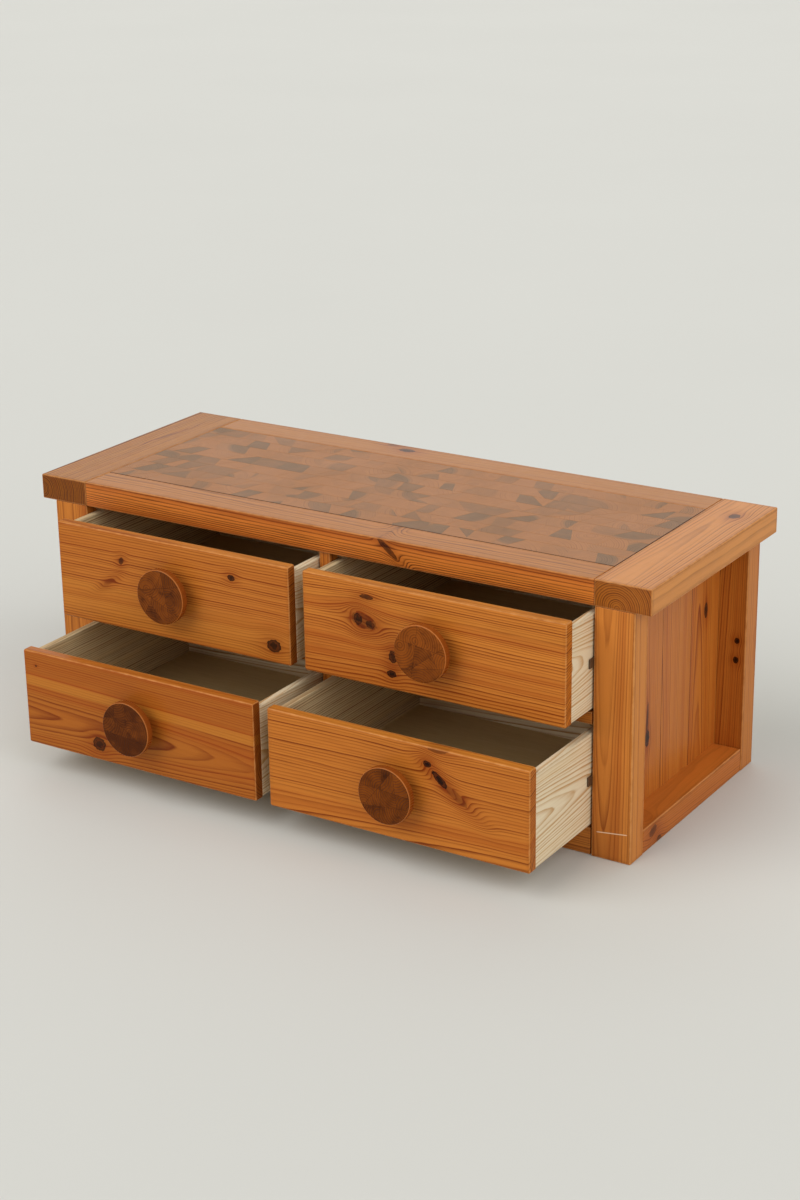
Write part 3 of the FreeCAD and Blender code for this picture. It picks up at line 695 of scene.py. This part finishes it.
side_planks = (-0.2415, 0.107)
dress("side_boards_right", pine(
    "pine_side_boards_right", "side_boards_right", "Z", "Y", (0.0, 0.47), 0.0034, (0.2, 0.02),
    planks=side_planks, seed=21.0, edge=0.1,
    knots=((0.304, 0.134, 0.012, 0.006, 0, 0.9), (0.150, -0.077, 0.013, 0.007, 0, 0.95),
           (0.182, -0.078, 0.028, 0.0032, 3, 0.7))))
dress("side_boards_left", pine(
    "pine_side_boards_left", "side_boards_left", "Z", "Y", (0.0, -0.57), 0.0034, (0.2, -0.02),
    planks=side_planks, seed=27.0, edge=0.1,
    knots=((0.12, 0.09, 0.010, 0.007, 0, 0.85), (0.33, -0.10, 0.007, 0.005, 0, 0.8))))
dress("bottom_side_rail_right", pine(
    "pine_side_rail_right", "bottom_side_rail_right", "Y", "Z", (-0.03, 0.53), 0.0032, (0.0, 0.03),
    early=(188, 106, 36), late=(110, 50, 10), line=0.9, shine=0.14, painted_light=(0.7, 0.0),
    gold=(212, 126, 50), seed=31.0,
    knots=((-0.150, 0.027, 0.012, 0.007, 20, 0.6), (-0.127, 0.001, 0.008, 0.008, 0, 0.7))))
dress("bottom_side_rail_left", pine(
    "pine_side_rail_left", "bottom_side_rail_left", "Y", "Z", (0.10, -0.53), 0.0032,
    shine=0.14, painted_light=(0.5, 0.0), seed=33.0))


# The front frame between the posts: toe rail on the floor, mid rails between the drawers and the
# centre post, of the same lacquered pine. Behind it are the unfinished partition, bearer and back
# rail, and the thin plywood panel that closes the back.

for name, along, across, heart, ring, seed in (
        ("toe_rail", "X", "Z", (-0.05, -0.20), 0.0042, 41.0),
        ("mid_rail_left", "X", "Z", (0.33, -0.20), 0.0042, 43.0),
        ("mid_rail_right", "X", "Z", (0.14, -0.20), 0.0042, 45.0),
        ("centre_post", "Z", "X", (0.07, -0.20), 0.0040, 47.0)):
    dress(name, pine("pine_" + name, name, along, across, heart, ring, seed=seed))

raw_early, raw_late = (222, 206, 176), (186, 146, 98)
dress("partition", pine("raw_partition", "partition", "Y", "Z", (0.26, 0.06), 0.0052, (0.0, 0.04),
                        early=raw_early, late=raw_late, raw=True, seed=51.0))
dress("middle_bearer", pine("raw_bearer", "middle_bearer", "Y", "X", (0.0, -0.06), 0.0050,
                            early=raw_early, late=raw_late, raw=True, seed=52.0))
dress("back_rail", pine("raw_back_rail", "back_rail", "X", "Z", (0.10, 0.20), 0.0050,
                        early=raw_early, late=raw_late, raw=True, seed=53.0))
dress("back_panel", plywood("plywood_back", "X", 6.0))


# The runners and kickers: strips of unfinished pine under and over the drawer sides, screwed to the
# posts and the partition. The side guides are thin strips of dark hardwood glued on the posts.

for kind, height in (("runners_lower", 0.04), ("runners_upper", 0.233), ("kickers", 0.42)):
    for hand, deep in (("left", -0.24), ("right", 0.24)):
        strip = "%s_%s" % (kind, hand)
        dress(strip, pine("raw_" + strip, strip, "Y", "Z", (height - 0.15, deep), 0.0040,
                          early=(196, 172, 132), late=raw_late, raw=True, seed=height * 9))

guide_wood, place, shader = blank("dark_hardwood")
pores = place.stretch(8.0, 1.0, 8.0).noise(60.0, 3.0, 0.6)
tone = (pores * 1.4 + 0.5).step(0.0, 1.0).mix(paint(62, 42, 26), paint(100, 70, 44))
feed(shader, Base_Color=tone, Roughness=0.5 + pores * 0.2, Normal=pores.bump(0.2, 0.0003))
dress("side_guides", guide_wood)


# The screws of the strips and the nails of the back panel: zinc-plated steel, heads flush. The
# screws that hold the knobs are of the same steel.

steel, place, shader = blank("steel")
scuff = place.noise(900.0, 2.0)
tone = (scuff + 0.5).mix(paint(150, 148, 142), paint(196, 194, 188))
feed(shader, Base_Color=tone, Roughness=0.38 + scuff * 0.2, Metallic=1.0)
dress("runner_screws", steel)
dress("back_nails", steel)


# The drawers: a lacquered front 19 mm thick with rounded edges, screwed and glued to a box of
# unfinished pine with a thin plywood bottom. Each front has its own grain and knots.

# The right ends of the two left fronts get a darker end tone than those of the right fronts: painted
# shade from the next front, which stands close beside them.
fronts = {
    "upper_left": dict(
        heart=(0.130, -0.240), ring=0.0043, lean=(-0.25, 0.03), wave=0.018, seed=61.0, line=1.5,
        early=(192, 115, 44), end_tone_and_shade=(0.6, 0.52, 0.42), bands=((0.285, 0.035, -0.02, -0.3),),
        knots=((-0.3613, 0.3736, 0.0060, 0.0045, 60, 0.75), (-0.1290, 0.3845, 0.0065, 0.0050, 0, 0.9),
               (-0.3907, 0.3303, 0.0130, 0.0040, 35, 0.15), (-0.0465, 0.2803, 0.0128, 0.0100, 0, 0.9))),
    "upper_right": dict(
        heart=(0.225, -0.262), ring=0.0042, lean=(0.1, 0.02), wave=0.022, seed=63.0, line=1.5, red=0.10,
        early=(201, 122, 47), end_tone_and_shade=(0.92, 0.84, 0.72),
        knots=((0.1330, 0.3580, 0.0220, 0.0110, -12, 0.4), (0.1210, 0.3600, 0.0070, 0.0090, 10, 0.9),
               (0.1440, 0.3545, 0.0080, 0.0060, -15, 0.85), (0.1373, 0.4002, 0.0110, 0.0035, 0, 0.8),
               (0.1865, 0.3074, 0.0070, 0.0100, 0, 0.85), (0.1833, 0.2776, 0.0080, 0.0055, 0, 0.95))),
    "lower_left": dict(
        heart=(0.108, -0.385), ring=0.0040, lean=(-0.28, -0.035), wave=0.008, seed=65.0, line=1.3,
        early=(169, 97, 33), red=0.05, end_tone_and_shade=(0.6, 0.52, 0.42),
        bands=((0.205, 0.034, -0.02, 0.15), (0.158, 0.010, -0.02, -0.5)),
        knots=((-0.3408, 0.0802, 0.0128, 0.0110, 0, 0.85), (-0.4717, 0.1970, 0.0022, 0.0015, 0, 0.8))),
    "lower_right": dict(
        heart=(0.035, -0.345), ring=0.0043, lean=(0.25, 0.03), wave=0.016, seed=67.0, line=1.3,
        early=(192, 115, 43), end_tone_and_shade=(0.92, 0.84, 0.72),
        knots=((0.3166, 0.1936, 0.0065, 0.0050, 0, 0.95), (0.3390, 0.1718, 0.0160, 0.0055, -42, 0.95),
               (0.3680, 0.1510, 0.0220, 0.0060, -35, 0.3), (0.3350, 0.2230, 0.0180, 0.0060, 0, 0.55))),
}

for number, (drawer, values) in enumerate(fronts.items()):
    stem = "drawer_" + drawer
    dress(stem + "_front", pine("pine_front_" + drawer, stem + "_front", "X", "Z", shine=0.10,
                                soil=0.35, painted_light=(0.55, 0.1), edge=0.6, **values))

    # The left sides have straight grain and are painted darker and browner than the right ones: painted
    # shade, for their inner faces lie in the shade inside the drawers. The right ones show the arches of
    # the rings.
    for hand, slope, wave, early, late, seed in (
            ("left", 0.02, 0.012, (204, 180, 138), (128, 90, 52), 75.0),
            ("right", 0.07, 0.020, raw_early, raw_late, 76.0)):
        part = "%s_side_%s" % (stem, hand)
        low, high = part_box(part)
        deep = (low[0] + high[0]) / 2 - 0.034
        if hand == "left":
            middle = low[2] - 0.07
        else:
            middle = (low[2] + high[2]) / 2 + 0.012 * math.sin(number * 2.1)
        dress(part, pine("raw_" + part, part, "Y", "Z", (middle, deep), 0.0038, (low[1], slope),
                         wave=wave, line=1.8, early=early, late=late, raw=True,
                         seed=seed + number * 3))

    # The backs are painted paler than the other raw pine: painted light, standing in for the light that
    # falls on them inside the drawers.
    part = stem + "_back"
    low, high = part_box(part)
    middle = (low[2] + high[2]) / 2
    dress(part, pine("raw_" + part, part, "X", "Z", (middle, low[1] - 0.05), 0.0056, (low[0], 0.06),
                     wave=0.018, line=1.5, early=(240, 226, 198), late=raw_late, raw=True,
                     seed=91.0 + number))
    dress(stem + "_bottom", plywood("plywood_%s_bottom" % drawer, "X", 10.0 + number))
    dress(stem + "_knob_screw", steel)


# The knobs: discs of end-grain wedges 96 mm across, turned with a rounded rim on a short neck and
# lacquered dark. Each is screwed on from inside the front.

knob_finish = end_grain("knob_blocks", "XZ", pale=(142, 74, 20), dark=(80, 37, 8), gloss=0.26,
                        shine=0.07, pitch=0.0042, lines=1.5, blotch=1.3, marks=0.6)
disc_thick, neck_radius = 0.014, 0.027
rim_ease, back_ease, seam_half = 0.0025, 0.002, 0.0003
same_plane = 1e-5


def turn_disc(name, low, high):
    """A disc with eased rims on a short neck, which fills the box. It is left open in edit mode."""
    x, z = (low[0] + high[0]) / 2, (low[2] + high[2]) / 2
    radius = (high[0] - low[0]) / 2
    bpy.ops.object.select_all(action="DESELECT")
    bpy.ops.mesh.primitive_cylinder_add(
        vertices=96, radius=radius, depth=disc_thick, end_fill_type="NGON",
        location=(x, low[1] + disc_thick / 2, z), rotation=(math.pi / 2, 0, 0))
    piece = bpy.context.object
    piece.name = name
    bpy.ops.object.transform_apply(location=True, rotation=True, scale=True)
    bpy.ops.object.mode_set(mode="EDIT")
    bpy.ops.mesh.select_mode(type="FACE")
    pick(piece.data, lambda face: face.normal.y > 0.9)
    bpy.ops.mesh.inset(thickness=radius - neck_radius)
    neck_length = high[1] - low[1] - disc_thick
    bpy.ops.mesh.extrude_region_move(TRANSFORM_OT_translate={"value": (0, neck_length, 0)})
    bpy.ops.mesh.select_mode(type="EDGE")
    for y, ease, steps in ((low[1], rim_ease, 5), (low[1] + disc_thick, back_ease, 3)):
        bpy.ops.mesh.select_all(action="DESELECT")
        shape = bmesh.from_edit_mesh(piece.data)
        for edge in shape.edges:
            ends = [vert.co for vert in edge.verts]
            outer = all(math.hypot(end.x - x, end.z - z) > radius - 1e-4 for end in ends)
            if outer and all(abs(end.y - y) < same_plane for end in ends):
                edge.select_set(True)
        bmesh.update_edit_mesh(piece.data)
        bpy.ops.mesh.bevel(offset=ease, segments=steps, profile=0.5, affect="EDGES")
    bpy.ops.mesh.select_mode(type="FACE")
    return piece


def mark_wedges(mesh, front, seed, shade):
    """Gives each wedge its tone and its heart, and tells the knob's rim from its front."""
    chance = random.Random(seed)
    tone_spread = 0.18
    heart_nearest, heart_farthest = 0.015, 0.031
    rim_starts, rim_ends = 0.0003, 0.0020
    faces = mesh.polygons
    wedges = [face.index for face in faces if abs(face.center.y - front) < same_plane]
    wedges.sort(key=lambda i: (round(faces[i].center.x, 4), faces[i].center.z))
    tones = {i: shade + chance.uniform(-tone_spread, tone_spread) for i in wedges}
    hearts = {}
    for i in wedges:
        centre = faces[i].center
        far, angle = chance.uniform(heart_nearest, heart_farthest), chance.uniform(0, math.tau)
        hearts[i] = (centre.x + far * math.cos(angle), 0.0, centre.z + far * math.sin(angle))
    nearest = [min(wedges, key=lambda i: (faces[i].center - face.center).length) for face in faces]
    # The eased edge between front and rim is marked 0.5, and the material paints a highlight there.
    rims = []
    for face in faces:
        y = face.center.y
        rims.append(1.0 if y > front + rim_ends else 0.5 if y > front + rim_starts else 0.0)
    mark(mesh, "tone", "FLOAT", [tones[i] for i in nearest])
    mark(mesh, "heart", "FLOAT_VECTOR", [hearts[i] for i in nearest])
    mark(mesh, "rim", "FLOAT", rims)
    mark(mesh, "seam", "FLOAT", [0.0] * len(faces))


def knob(drawer, cuts, seed, shade):
    """
    The knob of a drawer. A cut between wedges is its angle and its distance from the centre, and
    shade is how dark the wedges are on the whole.
    """
    name = "drawer_%s_knob" % drawer
    low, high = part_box(name)
    x, front, z = (low[0] + high[0]) / 2, low[1], (low[2] + high[2]) / 2
    piece = turn_disc("knob_" + drawer, low, high)

    def on_front(face):
        """True for a face that lies in the knob's front."""
        return abs(face.calc_center_median().y - front) < same_plane

    for angle, off in cuts:
        pick(piece.data, on_front)
        c, s = math.cos(math.radians(angle)), math.sin(math.radians(angle))
        bpy.ops.mesh.bisect(plane_co=(x - s * off, front, z + c * off), plane_no=(-s, 0, c))
    bpy.ops.object.mode_set(mode="OBJECT")
    mark_wedges(piece.data, front, seed, shade)

    # The seams between the wedges end where the rim begins.
    seam_reach = (high[0] - low[0]) / 2 - rim_ease - 2 * seam_half
    bpy.ops.object.mode_set(mode="EDIT")
    pick(piece.data, on_front)
    bpy.ops.mesh.inset(thickness=seam_half, use_individual=True)
    shape = bmesh.from_edit_mesh(piece.data)
    seams = shape.faces.layers.float["seam"]
    for face in shape.faces:
        if on_front(face) and not face.select:
            centre = face.calc_center_median()
            face[seams] = 1.0 if math.hypot(centre.x - x, centre.z - z) < seam_reach else 0.0
    bmesh.update_edit_mesh(piece.data)
    bpy.ops.mesh.select_all(action="SELECT")
    bpy.ops.mesh.normals_make_consistent(inside=False)
    bpy.ops.object.mode_set(mode="OBJECT")
    bpy.ops.object.shade_smooth_by_angle(angle=math.radians(30))
    piece.data.materials.append(knob_finish)
    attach(piece, "drawer_" + drawer)
    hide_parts(name)


knob("upper_left", ((12, 0.016), (100, -0.012), (64, 0.014), (-24, -0.010), (130, 0.024)), 3, 0.48)
knob("upper_right", ((-8, 0.012), (82, 0.010), (38, -0.012), (118, -0.020), (10, -0.024)), 8, 0.33)
knob("lower_left", ((4, 0.018), (94, -0.004), (88, 0.022), (-6, -0.014), (150, 0.000)), 14, 0.85)
knob("lower_right", ((-4, 0.010), (86, 0.006), (98, -0.022), (6, -0.018), (52, 0.016)), 21, 0.60)
